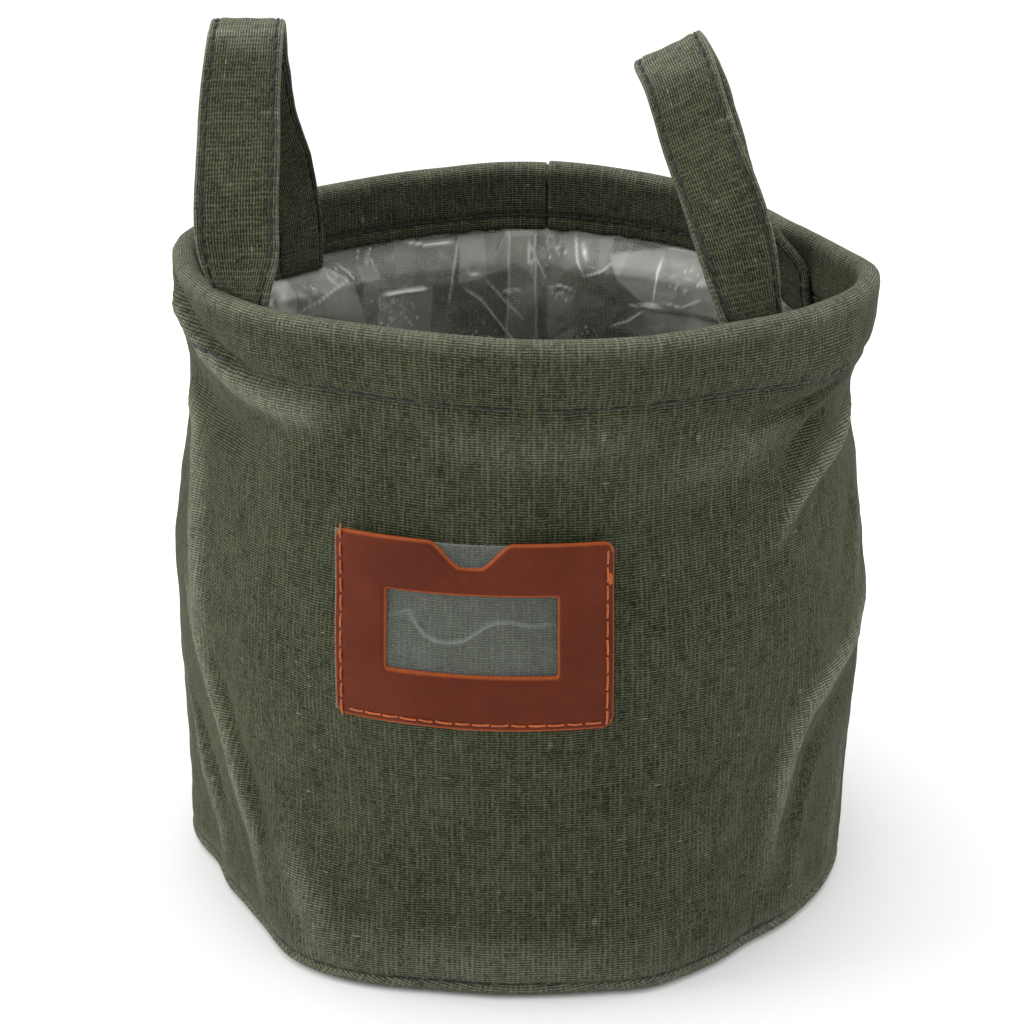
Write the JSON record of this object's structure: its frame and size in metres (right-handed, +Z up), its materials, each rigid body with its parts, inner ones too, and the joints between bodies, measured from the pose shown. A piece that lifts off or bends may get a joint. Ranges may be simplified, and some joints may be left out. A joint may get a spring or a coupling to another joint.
{
  "type": "fruit picking bag",
  "caption": "Small round canvas picking bag with a film liner, rolled hem, two strap handles and a leather label holder.",
  "frame": {"origin": "middle of the round base, on the surface that the bag stands on", "axes": "+Z up the bag; -Y towards the side with the label holder; +X to the right as seen from that side"},
  "size_m": [0.1618, 0.1645, 0.1986],
  "materials": {
    "canvas": "coarse plain weave, waxed linen-cotton canvas, matt",
    "green_thread": "matt sewing thread",
    "liner_film": "clear crinkled plastic film, glossy",
    "pocket_film": "clear plastic film, glossy",
    "leather": "smooth coated leather with lighter cut edges, satin",
    "orange_thread": "matt sewing thread"
  },
  "bodies": {
    "bag": {"wall_panel": "canvas", "hem_band": "canvas", "back_seam_allowance": "canvas", "base_panel": "canvas", "base_seam_allowance": "canvas", "handle_left_front_tab": "canvas", "handle_left_back_tab": "canvas", "handle_right_front_tab": "canvas", "handle_right_back_tab": "canvas", "hem_stitching_outer": "green_thread", "hem_stitching_inner": "green_thread", "back_seam_stitching": "green_thread", "base_stitching": "green_thread", "liner_wall": "liner_film", "liner_base": "liner_film", "label_window_film": "pocket_film", "label_frame": "leather", "label_stitching": "orange_thread"},
    "handle_left": {"handle_left": "canvas", "handle_left_stitching": "green_thread"},
    "handle_right": {"handle_right": "canvas", "handle_right_stitching": "green_thread"}
  },
  "joints": [
    {"name": "handle_left_swing", "type": "hinge", "parent": "bag", "child": "handle_left", "pos_m": [-0.05713, 0.00189, 0.153], "axis": [0.0332, 0.9995, 0], "range_deg": [-56, 84]},
    {"name": "handle_right_swing", "type": "hinge", "parent": "bag", "child": "handle_right", "pos_m": [0.05611, -0.01091, 0.153], "axis": [-0.1908, -0.9816, 0], "range_deg": [-95, 45]}
  ]
}
